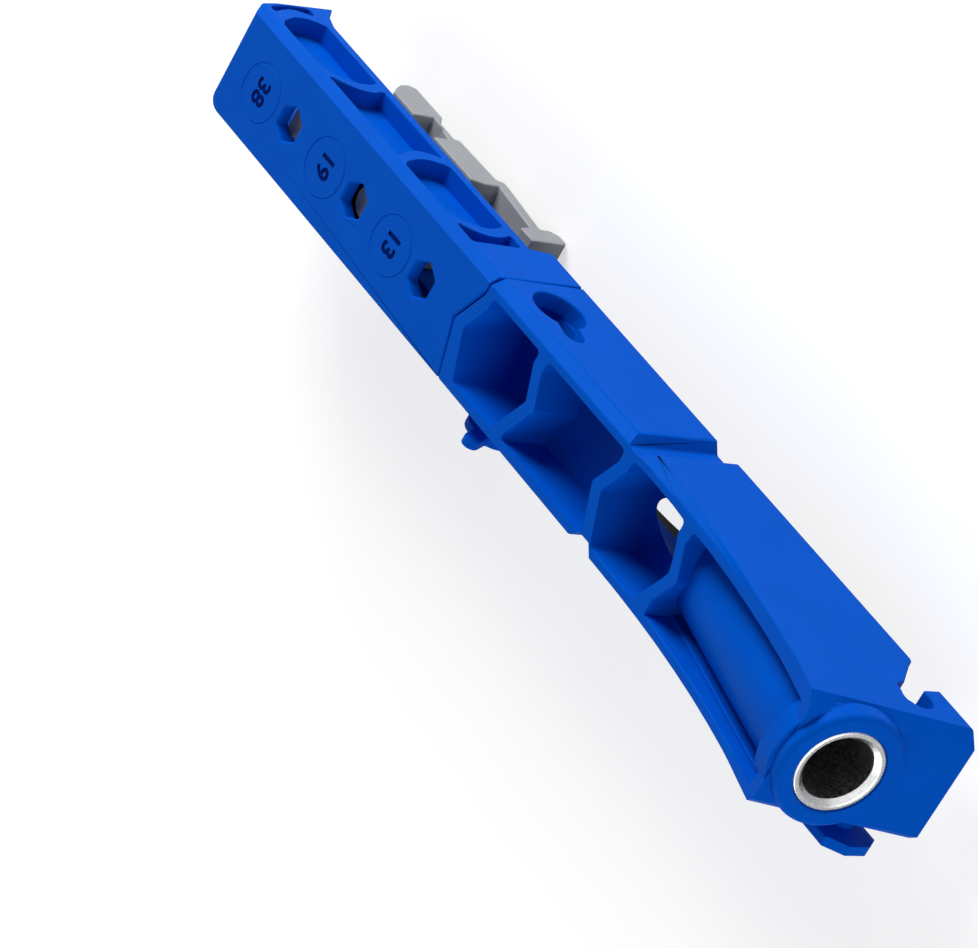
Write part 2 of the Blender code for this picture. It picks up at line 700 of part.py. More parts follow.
def base_insert(group, tools, paint):
    insert = prism("base_insert", insert_outline(), 0.0, INSERT_THICK, "XY", group)
    cut(
        insert,
        drill_cylinder("insert_tube_way", TUBE_RADIUS + TUBE_FIT, TUBE_LENGTH / 2, SEAT_END, tools),
        drill_cylinder("insert_way", INSERT_BORE, TUBE_LENGTH - 4 * OVER,
                       AXIS_REACH / math.tan(GUIDE_ANGLE) + 30 * MM, tools),
    )
    rim = INSERT_RIM
    slope = (INSERT_CORNER - INSERT_START) / (INSERT_HALF + INSERT_CORNER_Y)
    end_cell = [
        (INSERT_START + rim, INSERT_HALF - rim),
        (INSERT_START + rim, INSERT_CORNER_Y),
        (INSERT_START + rim + slope * (INSERT_CORNER_Y + INSERT_HALF - rim), -INSERT_HALF + rim),
        (INSERT_START + INSERT_END_CELL + slope * (INSERT_HALF + INSERT_CORNER_Y), -INSERT_HALF + rim),
        (INSERT_START + INSERT_END_CELL, INSERT_HALF - rim),
    ]
    far_cell = [
        (INSERT_START + CORNER_CELL_X[0], INSERT_HALF - rim),
        (INSERT_START + CORNER_CELL_X[1], CORNER_CELL_Y),
        (INSERT_START + CORNER_CELL_X[2], INSERT_HALF - rim),
    ]
    near_cell = [(x + CORNER_CELL_SHIFT, -y) for x, y in reversed(far_cell)]
    for name, outline in (("end_cell", end_cell), ("far_corner", far_cell), ("near_corner", near_cell)):
        cut(insert, prism(name + "_recess", rounded(outline, 0.8 * MM), -OVER, INSERT_CELL, "XY", tools))
    insert.data.materials.append(paint)
    return insert


def bow(values, low, high):
    """Points of a smooth rib edge through three x values at its foot, middle and top."""
    foot, middle, top = values
    points = []
    for step in range(CURVE_STEPS + 1):
        part = step / CURVE_STEPS
        x = (
            foot * (1 - part) * (1 - 2 * part)
            + middle * 4 * part * (1 - part)
            + top * part * (2 * part - 1)
        )
        points.append((x, low + (high - low) * part))
    return points


def rail_pocket(values_near, values_far, low=RAIL_POCKET_LOW, high=RAIL_POCKET_HIGH):
    near = bow(values_near, low, high)
    far = bow(values_far, low, high)
    return near + list(reversed(far))


def shifted(values, distance):
    return tuple(value + distance for value in values)


def rail_profile():
    return [
        (SEAM_X - OVER, 0.0),
        (RAIL_END_FOOT, 0.0),
        (RAIL_END_FOOT, RAIL_LIP_FOOT),
        (RAIL_END + 1.6 * MM, HEIGHT - 4.2 * MM),
        (RAIL_END + 0.9 * MM, HEIGHT - 1.3 * MM),
        (RAIL_END - 0.2 * MM, HEIGHT),
        (SEAM_X - OVER, HEIGHT),
    ]


def under_rail(foot, foot_end):
    """What is open under one of the rail's sides: above it a foot, then the lip that hangs at the end."""
    return [
        (RAIL_STEP, -OVER),
        (RAIL_STEP, 0.0),
        (RAIL_STEP + foot / 8, foot),
        *foot_end,
        (RAIL_END_FOOT, RAIL_LIP_FOOT),
        (RAIL_END_FOOT + OVER, RAIL_LIP_FOOT),
        (RAIL_END_FOOT + OVER, -OVER),
    ]


def gauge_rail(group, tools, paint):
    rail = prism("gauge_rail", rail_profile(), -WIDTH / 2, WIDTH / 2, "XZ", group)

    def near_top(middle, normals):
        on_near_side = abs(middle.y + WIDTH / 2) < 1e-5
        return 1.0 if on_near_side and any(normal.z > 0.7 for normal in normals) else 0.0

    def far_end(middle, normals):
        on_far_side = abs(middle.y - WIDTH / 2) < 1e-5
        return 1.0 if on_far_side and any(normal.x > 0.7 for normal in normals) else 0.0

    weigh_edges(rail.data, near_top)
    weigh_edges(rail.data, far_end, "far_end_weight")
    bevel(rail, TOP_CHAMFER)
    bevel(rail, RAIL_CORNER, 5, weights="far_end_weight")

    keep(rail, prism("rail_plan", rail_plan(), -OVER, HEIGHT + OVER, "XY", tools))
    far_foot = STOP_BLOCK + CLEAR
    near_lip = [(RAIL_LIP_START, RAIL_FOOT), (RAIL_LIP_START + 3.0 * MM, RAIL_FOOT - 1.0 * MM)]
    far_lip = [(RAIL_END_FOOT - 1.2 * MM, far_foot)]
    cut(
        rail,
        prism("near_foot", under_rail(RAIL_FOOT, near_lip), -WIDTH / 2 - OVER, CHANNEL_NEAR + OVER / 2,
              "XZ", tools),
        prism("far_foot", under_rail(far_foot, far_lip), CHANNEL_FAR - OVER / 2, WIDTH / 2 + OVER,
              "XZ", tools),
    )

    channel = box("channel", (CHANNEL_START, CHANNEL_NEAR, -OVER),
                  (RAIL_END_FOOT + OVER, CHANNEL_FAR, HEIGHT - RAIL_PLATE), tools)
    guides = box("guide_grooves", (CHANNEL_START, CHANNEL_NEAR - GUIDE_DEPTH, GUIDE_LOW),
                 (RAIL_END_FOOT + OVER, CHANNEL_FAR + GUIDE_DEPTH, GUIDE_HIGH), tools)
    cut(rail, channel, guides)

    near = -WIDTH / 2
    first, second, third, last = RAIL_RIBS
    half = RAIL_RIB / 2
    pockets = {
        "rail_pocket_corner": rail_pocket((RAIL_FIRST_POCKET,) * 3, shifted(first, -half)),
        "rail_pocket_13": rail_pocket(shifted(first, half), shifted(second, -half)),
        "rail_pocket_19": rail_pocket(shifted(second, half), shifted(third, -half)),
        "rail_pocket_38": rail_pocket(shifted(third, half), shifted(last, -half)),
        "rail_pocket_end": rail_pocket(END_POCKET_NEAR, END_POCKET_FAR, END_POCKET_LOW, END_POCKET_HIGH),
    }
    for name, outline in pockets.items():
        cut(rail, prism(name, rounded(outline, 0.5 * MM, 2), near - OVER, near + RAIL_POCKET_DEPTH,
                        "XZ", tools))
    flats = WINDOW_FLATS / 2
    hexagon = ring((0.0, 0.0), flats / math.cos(math.pi / 6), 90, 390, 5)
    for index in (-1, 0, 1):
        outline = [(WINDOW_X + index * PITCH + x, WINDOW_Y + y) for x, y in hexagon]
        cut(rail, prism("window_%d" % (index + 2), outline, HEIGHT - RAIL_PLATE - OVER, HEIGHT + OVER,
                        "XY", tools))
    tongue = box("tongue", (SEAM_X - TONGUE_LENGTH, -TONGUE_HALF, TONGUE_LOW),
                 (CHANNEL_START - 0.5 * MM, TONGUE_HALF, TONGUE_HIGH), tools)
    join(rail, tongue)
    rail.data.materials.append(paint)
    return rail


def rail_plan():
    """The rail in plan: it starts with a V that takes the body's nose."""
    far = WIDTH / 2 + OVER
    end = RAIL_END_FOOT + OVER
    return nose_outline(CLEAR)[:4] + [(SEAM_X + CLEAR, far), (end, far), (end, -far)]


def stop_profile():
    """The stop in side view: its fence, a thin flange, and the block that the rail rides over."""
    fence = STOP_FENCE_X
    root = fence + FENCE_THICK
    flange_end = FLANGE_TOP - FLANGE_DROP
    return [
        (fence, FENCE_FOOT + 0.6 * MM),
        (fence + 0.6 * MM, FENCE_FOOT),
        (root - 1.2 * MM, FENCE_FOOT),
        (root, FENCE_FOOT + 1.2 * MM),
        (root, FLANGE_TOP - FLANGE_THICK),
        (BLOCK_START, flange_end - FLANGE_THICK),
        (BLOCK_START + 1.4 * MM, flange_end - FLANGE_THICK),
        (BLOCK_START + 1.9 * MM, BLOCK_SOLE),
        (NOTCH_START, BLOCK_SOLE + 0.4 * MM),
        (NOTCH_START + 0.3 * MM, NOTCH_SOLE),
        (NOTCH_END - 1.6 * MM, NOTCH_SOLE - 0.1 * MM),
        (NOTCH_END + 0.4 * MM, FAR_SOLE),
        (STOP_END - 0.4 * MM, FAR_SOLE),
        (STOP_END + 0.4 * MM, FAR_SOLE + 1.2 * MM),
        (STOP_END, STOP_BLOCK - 2.9 * MM),
        (STOP_END - 1.0 * MM, STOP_BLOCK - 1.5 * MM),
        (STOP_END - 2.5 * MM, STOP_BLOCK),
        (RAIL_STEP + PITCH + BLOCK_LEAN, STOP_BLOCK),
        (BLOCK_START, STOP_BLOCK - 2.0 * MM),
        (BLOCK_START, flange_end),
        (root, FLANGE_TOP),
        (root, FENCE_TOP - 1.4 * MM),
        (root - 0.3 * MM, FENCE_TOP),
        (fence, FENCE_TOP),
    ]


def carrier_profile(end):
    """The carriage in side view: it grows out of the flange and the block, and hangs over at its end."""
    root = BLOCK_SOLE + 0.3 * MM
    waist = NOTCH_SOLE + 0.6 * MM
    hang_low = STOP_BLOCK + 1.0 * MM
    return [
        (CARRIER_START, root),
        (NOTCH_START - 1.0 * MM, root),
        (NOTCH_START - 0.5 * MM, waist),
        (end - 3.4 * MM, waist),
        (end - 3.4 * MM, hang_low),
        (end, hang_low),
        (end, CARRIER_TOP),
        (CARRIER_START, CARRIER_TOP),
    ]


def thickness_stop(group, tools, paint):
    stop = prism("thickness_stop", stop_profile(), -STOP_HALF, STOP_HALF, "XZ", group)
    high = STOP_BLOCK + OVER
    notch = [(NOTCH_START, NOTCH_TOP), (NOTCH_END, NOTCH_TOP - NOTCH_DROP), (NOTCH_END, high),
             (NOTCH_START, high)]
    cut(
        stop,
        prism("near_notch", notch, -STOP_HALF - OVER, NOTCH_DEPTH - STOP_HALF, "XZ", tools),
        prism("far_notch", notch, STOP_HALF - NOTCH_DEPTH, STOP_HALF + OVER, "XZ", tools),
    )
    hollow_low = NOTCH_TOP - NOTCH_DROP
    cut(stop, box("far_hollow", (NOTCH_END - HOLLOW_LENGTH, -STOP_HALF - OVER, hollow_low + CLEAR),
                  (NOTCH_END, HOLLOW_REACH, high), tools))
    carrier_near = CHANNEL_NEAR + CLEAR
    carrier_far = CHANNEL_FAR - CLEAR
    carrier_end = STOP_END - 0.1 * MM
    carrier = prism("carrier", carrier_profile(carrier_end), carrier_near, carrier_far, "XZ", tools)
    ribs = box("guide_ribs", (CARRIER_START, carrier_near - GUIDE_DEPTH + 0.1 * MM, GUIDE_LOW + CLEAR),
               (carrier_end, carrier_far + GUIDE_DEPTH - 0.1 * MM, GUIDE_HIGH - CLEAR), tools)
    pad_middle = WINDOW_X + PITCH
    pad = box("pad", (pad_middle - PAD_LENGTH / 2, WINDOW_Y - PAD_LENGTH / 2, CARRIER_TOP - 1.0 * MM),
              (carrier_end, WINDOW_Y + PAD_LENGTH / 2, BUTTON_TOP), tools)
    form = bmesh.new()
    bmesh.ops.create_cone(form, cap_ends=True, segments=32, radius1=BUTTON_RADIUS,
                          radius2=BUTTON_RADIUS, depth=BUTTON_TOP - CARRIER_TOP + 1.0 * MM)
    mesh = bpy.data.meshes.new("button")
    form.to_mesh(mesh)
    form.free()
    button = add_object("button", mesh, tools)
    button.location = (WINDOW_X, WINDOW_Y, (BUTTON_TOP + CARRIER_TOP - 1.0 * MM) / 2)
    cut(carrier, box("near_hollow", (CARRIER_START - OVER, -STOP_HALF, FLANGE_TOP - FLANGE_DROP + CLEAR),
                     (BLOCK_START, HOLLOW_REACH, STOP_BLOCK + 0.8 * MM), tools))
    cut(carrier, box("carrier_hollow", (NOTCH_END - HOLLOW_LENGTH, -STOP_HALF - OVER, hollow_low + CLEAR),
                     (NOTCH_END, HOLLOW_REACH, STOP_BLOCK + 0.8 * MM), tools))
    join(stop, carrier, ribs, pad, button)
    stop.data.materials.append(paint)
    return stop


def hang(pieces, group):
    """Puts the origin on the work face's land and hangs every piece there."""
    root = bpy.data.objects.new("jig_origin", None)
    root.empty_display_size = 0.02
    root.location = (-ORIGIN_X, 0.0, 0.0)
    group.objects.link(root)
    for piece in pieces:
        piece.parent = root


def main():
    clear_scene()
    parts = new_collection("pocket_hole_jig")
    tools = new_collection("cutters")
    blue = material("blue_plastic", BLUE, 0.42)
    steel = material("guide_steel", STEEL, 0.28, 1.0)
    black = material("black_plastic", BLACK, 0.35)
    grey = material("grey_plastic", GREY, 0.5)
    pieces = [
        guide_body(parts, tools, blue),
        drill_tube(parts, steel),
        base_insert(parts, tools, black),
        gauge_rail(parts, tools, blue),
        thickness_stop(parts, tools, grey),
    ]
    for tool in tools.objects:
        tool.hide_render = True
        tool.display_type = "WIRE"
    hang(pieces + list(tools.objects), parts)
    bpy.context.view_layer.update()


main()
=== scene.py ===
"""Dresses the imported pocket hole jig: rounded edges, engraved settings, moulded plastic and
ground steel, with a pale studio round it. Lengths are in metres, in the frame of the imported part.
"""
import math

import bmesh
import bpy
from mathutils import Euler, Matrix, Vector


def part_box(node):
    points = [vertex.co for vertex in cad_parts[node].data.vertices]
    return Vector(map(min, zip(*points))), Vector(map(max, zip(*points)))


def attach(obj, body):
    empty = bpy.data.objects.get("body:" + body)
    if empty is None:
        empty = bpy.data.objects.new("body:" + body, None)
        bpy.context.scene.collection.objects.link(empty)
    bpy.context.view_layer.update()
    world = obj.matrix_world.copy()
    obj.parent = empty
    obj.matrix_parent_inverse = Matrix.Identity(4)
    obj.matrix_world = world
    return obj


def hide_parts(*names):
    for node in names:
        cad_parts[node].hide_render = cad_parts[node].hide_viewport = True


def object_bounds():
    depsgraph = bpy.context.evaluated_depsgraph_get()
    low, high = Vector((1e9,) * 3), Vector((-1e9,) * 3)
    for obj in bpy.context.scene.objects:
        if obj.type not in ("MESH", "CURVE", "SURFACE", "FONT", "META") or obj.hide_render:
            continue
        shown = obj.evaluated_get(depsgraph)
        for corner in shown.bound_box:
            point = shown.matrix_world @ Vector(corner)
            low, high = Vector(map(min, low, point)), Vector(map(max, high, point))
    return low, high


bl_info = {
    "name": "Pocket hole jig",
    "version": (1, 0, 0),
    "blender": (4, 5, 0),
    "location": "3D View > Sidebar > Jig",
    "description": "Builds the finished pieces of a pocket hole jig round its packed frame",
    "category": "Object",
}

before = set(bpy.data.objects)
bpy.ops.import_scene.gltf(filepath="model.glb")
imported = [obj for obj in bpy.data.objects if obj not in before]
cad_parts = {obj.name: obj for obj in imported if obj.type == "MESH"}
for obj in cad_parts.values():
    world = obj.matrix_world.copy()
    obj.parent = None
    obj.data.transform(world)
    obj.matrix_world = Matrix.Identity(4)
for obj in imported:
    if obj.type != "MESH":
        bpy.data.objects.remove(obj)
CAD_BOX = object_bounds()

MM = 0.001
GUIDE_ANGLE = math.radians(15.0)
SETTINGS = ("13", "19", "38")
SHEEN = (0.02, 0.38, 1.0)           # the blue plastic's gloss is blue too

# Tube and seat
TUBE_RADIUS = 6.35 * MM
HALF_TUBE = 20.0 * MM
TUBE_EDGE = 0.12 * MM
SEAT_RADIUS = 6.6 * MM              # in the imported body, a clearance wider than the tube
SEAT_GAP = 0.02 * MM                # what is left of that clearance here
SEAT_MATCH = 0.03 * MM              # how close a point of the seat lies to its radius

# Places of the body that keep their sharp edges
HOOD_LENGTH = 6.5 * MM              # along the drill axis, from the tube's mouth
HOOD_RADIUS = 8.95 * MM
TOP_POCKET_NEAR = -6.6 * MM
TOP_POCKET_FAR = 7.6 * MM
TOP_POCKET_FLOOR = 5.0 * MM
TOP_POCKET_RIM = 1.0 * MM           # below the rail's top
GROOVE_PLACE = -35.5 * MM
GROOVE_REACH = 3.6 * MM
GROOVE_CHAMFER_LOW = 13.0 * MM
GROOVE_CHAMFER_IN = -6.0 * MM

# Places of the rail that keep their sharp edges
RAIL_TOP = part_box("gauge_rail")[1].z
RAIL_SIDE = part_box("gauge_rail")[0].y
SIDE_POCKET_DEPTH = 2.75 * MM
SIDE_POCKET_FOOT = 5.0 * MM
SIDE_POCKET_RIM = 15.15 * MM
SKIN = 0.3 * MM                     # a pocket's inside starts this far under the side
NEAR = 0.4 * MM                     # how far round a rim or a ring counts as part of it

# Insert
INSERT_PROUD = 0.25 * MM
WORK_FACE = 0.01 * MM               # points below this height are on the work face
INSERT_EDGE_SHARE = 0.8             # of the other pieces' rounding

# Mesh and engraving
WELD = 0.002 * MM
NUMBER_WELD = 0.001 * MM
FLAT_ANGLE = math.radians(0.3)      # faces that meet at less are one face
DIGIT_SHARE = 0.729                 # a digit's height as a share of the font's size
DIGIT_BOLD = 0.14 * MM
RING_STEPS = 72

# Studio
LAMP_SIZE = 0.6
LAMP_PLACES = {
    "key": (0.5, -0.75, 0.35),
    "fill": (-0.85, 0.05, 0.32),
    "back": (0.6, 0.4, 0.7),
    "side": (-0.3, 0.9, 0.35),
}
FLOOR_REACH = 0.9                   # from the middle of the floor to its edge
FLOOR_GAP = 0.2 * MM


class JigColours(bpy.types.PropertyGroup):
    """Colours of the plastics and the steel."""

    blue: bpy.props.FloatVectorProperty(
        name="Blue plastic", description="Colour of the guide body and the rail",
        default=(0.0, 0.086, 0.55), min=0.0, max=1.0, size=3, subtype="COLOR",
    )
    mark: bpy.props.FloatVectorProperty(
        name="Engraving", description="Colour on the floor of the engraved numbers",
        default=(0.0, 0.014, 0.17), min=0.0, max=1.0, size=3, subtype="COLOR",
    )
    grey: bpy.props.FloatVectorProperty(
        name="Grey plastic", description="Colour of the thickness stop",
        default=(0.315, 0.328, 0.345), min=0.0, max=1.0, size=3, subtype="COLOR",
    )
    black: bpy.props.FloatVectorProperty(
        name="Black plastic", description="Colour of the insert in the work face",
        default=(0.012, 0.011, 0.011), min=0.0, max=1.0, size=3, subtype="COLOR",
    )
    steel: bpy.props.FloatVectorProperty(
        name="Steel", description="Colour of the guide tube",
        default=(0.76, 0.77, 0.77), min=0.0, max=1.0, size=3, subtype="COLOR",
    )


class JigDetails(bpy.types.PropertyGroup):
    """Sizes of the fine forms."""

    edge: bpy.props.FloatProperty(
        name="Edge rounding", description="Width of the rounding along the moulded edges",
        default=0.25 * MM, min=0.0, unit="LENGTH",
    )
    digit_height: bpy.props.FloatProperty(
        name="Digit height", description="Height of the engraved numbers",
        default=3.1 * MM, min=0.0, unit="LENGTH",
    )
    digit_depth: bpy.props.FloatProperty(
        name="Digit depth", description="Depth of the engraved numbers",
        default=0.22 * MM, min=0.0, unit="LENGTH",
    )
    ring_radius: bpy.props.FloatProperty(
        name="Ring radius", description="Radius of the engraved ring round each number",
        default=4.5 * MM, min=0.0, unit="LENGTH",
    )
    ring_line: bpy.props.FloatProperty(
        name="Ring line", description="Width of the engraved ring's line",
        default=0.22 * MM, min=0.0, unit="LENGTH",
    )
    ring_depth: bpy.props.FloatProperty(
        name="Ring depth", description="Depth of the engraved ring round each number",
        default=0.12 * MM, min=0.0, unit="LENGTH",
    )
    setting_pitch: bpy.props.FloatProperty(
        name="Setting pitch", description="Distance between two settings along the rail",
        default=19.4 * MM, min=0.0, unit="LENGTH",
    )
    setting_start: bpy.props.FloatProperty(
        name="First setting", description="Place of the first number along the rail",
        default=22.9 * MM, unit="LENGTH",
    )
    setting_side: bpy.props.FloatProperty(
        name="Setting side", description="Place of the numbers across the rail",
        default=0.8 * MM, unit="LENGTH",
    )


class JigStage(bpy.types.PropertyGroup):
    """Camera and light."""

    camera_place: bpy.props.FloatVectorProperty(
        name="Camera place", description="Where the camera stands",
        default=(-0.37795, -0.23265, 0.42003), size=3, subtype="TRANSLATION", unit="LENGTH",
    )
    camera_turn: bpy.props.FloatVectorProperty(
        name="Camera turn", description="How the camera is turned",
        default=(math.radians(5.9814), math.radians(47.0742), math.radians(-137.8358)),
        size=3, subtype="EULER", unit="ROTATION",
    )
    lens: bpy.props.FloatProperty(
        name="Lens", description="Focal length of the camera in millimetres",
        default=159.61, min=1.0, unit="CAMERA",
    )
    sky: bpy.props.FloatProperty(
        name="Sky", description="Strength of the light from all round",
        default=0.06, min=0.0,
    )
    key: bpy.props.FloatProperty(
        name="Main lamp", description="Power of the lamp on the keyhole's side in watts",
        default=11.4, min=0.0,
    )
    fill: bpy.props.FloatProperty(
        name="Second lamp", description="Power of the lamp that lights the drill end in watts",
        default=3.7, min=0.0,
    )
    back: bpy.props.FloatProperty(
        name="Third lamp", description="Power of the weak lamp behind the object in watts",
        default=1.8, min=0.0,
    )
    side: bpy.props.FloatProperty(
        name="Fourth lamp", description="Power of the lamp that lights the side with the tab in watts",
        default=3.0, min=0.0,
    )
    glow: bpy.props.FloatProperty(
        name="Floor glow", description="Brightens the floor where the camera sees it",
        default=0.56, min=0.0,
    )
    floor: bpy.props.FloatVectorProperty(
        name="Floor", description="Colour of the floor",
        default=(0.62, 0.62, 0.62), min=0.0, max=1.0, size=3, subtype="COLOR",
    )


def node(tree, kind, **values):
    made = tree.nodes.new(kind)
    for key, value in values.items():
        setattr(made, key, value)
    return made


def noise(tree, place, scale, detail=2.0, roughness=0.5):
    """Cloudy noise; scale counts its patches along a metre."""
    made = node(tree, "ShaderNodeTexNoise")
    made.inputs["Scale"].default_value = scale
    made.inputs["Detail"].default_value = detail
    made.inputs["Roughness"].default_value = roughness
    tree.links.new(place, made.inputs["Vector"])
    return made.outputs["Fac"]


def ranged(tree, value, low, high, start=0.3, end=0.7):
    """The value's middle part spread over low to high."""
    made = node(tree, "ShaderNodeMapRange")
    made.inputs["From Min"].default_value = start
    made.inputs["From Max"].default_value = end
    made.inputs["To Min"].default_value = low
    made.inputs["To Max"].default_value = high
    tree.links.new(value, made.inputs["Value"])
    return made.outputs["Result"]


def tinted(tree, factor, dark, light):
    """A colour between dark and light."""
    made = node(tree, "ShaderNodeMix", data_type="RGBA")
    made.inputs["A"].default_value = (*dark, 1.0)
    made.inputs["B"].default_value = (*light, 1.0)
    tree.links.new(factor, made.inputs["Factor"])
    return made.outputs["Result"]


def shaded(colour, share):
    """The colour made darker or lighter."""
    return tuple(min(1.0, part * share) for part in colour)


def new_material(name):
    """A material with its node tree, its shader and the object's own coordinates."""
    made = bpy.data.materials.new(name)
    made.use_nodes = True
    tree = made.node_tree
    shader = tree.nodes["Principled BSDF"]
    place = node(tree, "ShaderNodeTexCoord").outputs["Object"]
    return made, tree, shader, place


def relief(tree, shader, heights):
    """Bumps one over the other, each from a height, its strength and its depth."""
    last = None
    for height, strength, depth in heights:
        bump = node(tree, "ShaderNodeBump")
        bump.inputs["Strength"].default_value = strength
        bump.inputs["Distance"].default_value = depth
        tree.links.new(height, bump.inputs["Height"])
        if last is not None:
            tree.links.new(last, bump.inputs["Normal"])
        last = bump.outputs["Normal"]
    tree.links.new(last, shader.inputs["Normal"])


def seen_by(tree, *kinds):
    """One for a ray of the named kinds, and none for any other."""
    rays = node(tree, "ShaderNodeLightPath")
    seen = rays.outputs[kinds[0]]
    for kind in kinds[1:]:
        either = node(tree, "ShaderNodeMath", operation="MAXIMUM")
        tree.links.new(seen, either.inputs[0])
        tree.links.new(rays.outputs[kind], either.inputs[1])
        seen = either.outputs[0]
    return seen


def moulded_plastic(name, colour, roughness, grain, grain_depth, mottle, gloss=0.3, sheen=None):
    """Injection-moulded plastic: a fine spark grain, faint flow marks and a slightly uneven tone."""
    made, tree, shader, place = new_material(name)
    clouds = noise(tree, place, scale=140.0, detail=3.0)
    fine = noise(tree, place, scale=grain, roughness=0.6)
    tone = tinted(tree, ranged(tree, clouds, 0.0, 1.0), shaded(colour, 1.0 - mottle),
                  shaded(colour, 1.0 + mottle))
    tree.links.new(tone, shader.inputs["Base Color"])
    tree.links.new(ranged(tree, fine, roughness - 0.05, roughness + 0.07), shader.inputs["Roughness"])
    shader.inputs["IOR"].default_value = 1.5
    shader.inputs["Specular IOR Level"].default_value = gloss
    if sheen:
        shader.inputs["Specular Tint"].default_value = (*sheen, 1.0)
    flow = noise(tree, place, scale=260.0, detail=1.0)
    relief(tree, shader, ((flow, 0.10, 0.05 * MM), (fine, 0.35, grain_depth)))
    return made


def ground_steel(name, colour):
    """Ground steel: small scratches and clean reflections."""
    made, tree, shader, place = new_material(name)
    scratches = noise(tree, place, scale=2600.0, detail=3.0, roughness=0.7)
    tone = tinted(tree, ranged(tree, scratches, 0.0, 1.0), shaded(colour, 0.88), shaded(colour, 1.06))
    tree.links.new(tone, shader.inputs["Base Color"])
    shader.inputs["Metallic"].default_value = 1.0
    tree.links.new(ranged(tree, scratches, 0.22, 0.36), shader.inputs["Roughness"])
    relief(tree, shader, ((scratches, 0.25, 0.01 * MM),))
    return made


def bore_steel(name, colour):
    """The bore: much darker than the outer steel, pitted and speckled."""
    made, tree, shader, place = new_material(name)
    pits = noise(tree, place, scale=2300.0, detail=4.0, roughness=0.75)
    clouds = noise(tree, place, scale=260.0)
    mixed = node(tree, "ShaderNodeMath", operation="MULTIPLY")
    tree.links.new(ranged(tree, pits, 0.0, 1.0, start=0.36, end=0.66), mixed.inputs[0])
    tree.links.new(ranged(tree, clouds, 0.55, 1.0), mixed.inputs[1])
    tone = tinted(tree, mixed.outputs[0], shaded(colour, 0.05), shaded(colour, 0.4))
    tree.links.new(tone, shader.inputs["Base Color"])
    shader.inputs["Metallic"].default_value = 0.85
    tree.links.new(ranged(tree, pits, 0.36, 0.62), shader.inputs["Roughness"])
    relief(tree, shader, ((pits, 0.5, 0.06 * MM),))
    return made


def pale_floor(colour, strength):
    """It keeps the shadow, and the camera sees it nearly white where nothing shades it."""
    made, tree, shader, place = new_material("pale_floor")
    clouds = noise(tree, place, scale=3.0, detail=1.0)
    tone = tinted(tree, ranged(tree, clouds, 0.0, 1.0), shaded(colour, 0.995), shaded(colour, 1.005))
    tree.links.new(tone, shader.inputs["Base Color"])
    shader.inputs["Roughness"].default_value = 0.9
    shader.inputs["Emission Color"].default_value = (1.0, 1.0, 1.0, 1.0)
    glow = node(tree, "ShaderNodeMath", operation="MULTIPLY")
    glow.inputs[1].default_value = strength
    tree.links.new(seen_by(tree, "Is Camera Ray", "Is Transmission Ray"), glow.inputs[0])
    tree.links.new(glow.outputs[0], shader.inputs["Emission Strength"])
    return made


def welded_copy(name, source):
    """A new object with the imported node's form, welded."""
    form = bmesh.new()
    form.from_mesh(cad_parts[source].data)
    bmesh.ops.remove_doubles(form, verts=form.verts, dist=WELD)
    mesh = bpy.data.meshes.new(name)
    form.to_mesh(mesh)
    form.free()
    piece = bpy.data.objects.new(name, mesh)
    bpy.context.scene.collection.objects.link(piece)
    return piece


def applied(piece):
    """Turns the piece's modifiers into its mesh."""
    bpy.context.view_layer.update()
    seen = piece.evaluated_get(bpy.context.evaluated_depsgraph_get())
    mesh = bpy.data.meshes.new_from_object(seen)
    piece.modifiers.clear()
    old = piece.data
    piece.data = mesh
    bpy.data.meshes.remove(old)
    mesh.name = piece.name


def rounded_edges(piece, width, smallest_angle=28.0, shortest=0.45 * MM, plain=None):
    """Rounds the edges that are sharp and long enough; plain tells the places that stay sharp."""
    form = bmesh.new()
    form.from_mesh(piece.data)
    bmesh.ops.dissolve_limit(form, angle_limit=FLAT_ANGLE, delimit={"MATERIAL"},
                             verts=form.verts, edges=form.edges)
    layer = form.edges.layers.float.new("bevel_weight_edge")
    limit = math.radians(smallest_angle)
    for edge in form.edges:
        sharp = len(edge.link_faces) == 2 and edge.calc_face_angle(0.0) > limit
        edge.smooth = not sharp
        if not sharp:
            continue
        middle = (edge.verts[0].co + edge.verts[1].co) / 2
        if edge.calc_length() > shortest and not (plain and plain(middle)):
            edge[layer] = 1.0
    for face in form.faces:
        face.smooth = True
    form.to_mesh(piece.data)
    form.free()
    step = piece.modifiers.new("rounded", "BEVEL")
    step.width = width
    step.segments = 3
    step.limit_method = "WEIGHT"
    step.use_clamp_overlap = False
    step.miter_outer = "MITER_ARC"
    normals = piece.modifiers.new("flat_faces", "WEIGHTED_NORMAL")
    normals.mode = "FACE_AREA"
    normals.weight = 100
    normals.keep_sharp = True
    applied(piece)


def cut_from(piece, cutter):
    """Takes the cutter's solid out of the piece; its material stays on the cut."""
    step = piece.modifiers.new("cut_" + cutter.name, "BOOLEAN")
    step.operation = "DIFFERENCE"
    step.object = cutter
    step.solver = "EXACT"
    step.material_mode = "TRANSFER"
    applied(piece)
    bpy.data.objects.remove(cutter, do_unlink=True)


def seated(piece, body, source):
    """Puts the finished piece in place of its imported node."""
    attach(piece, body)
    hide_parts(source)


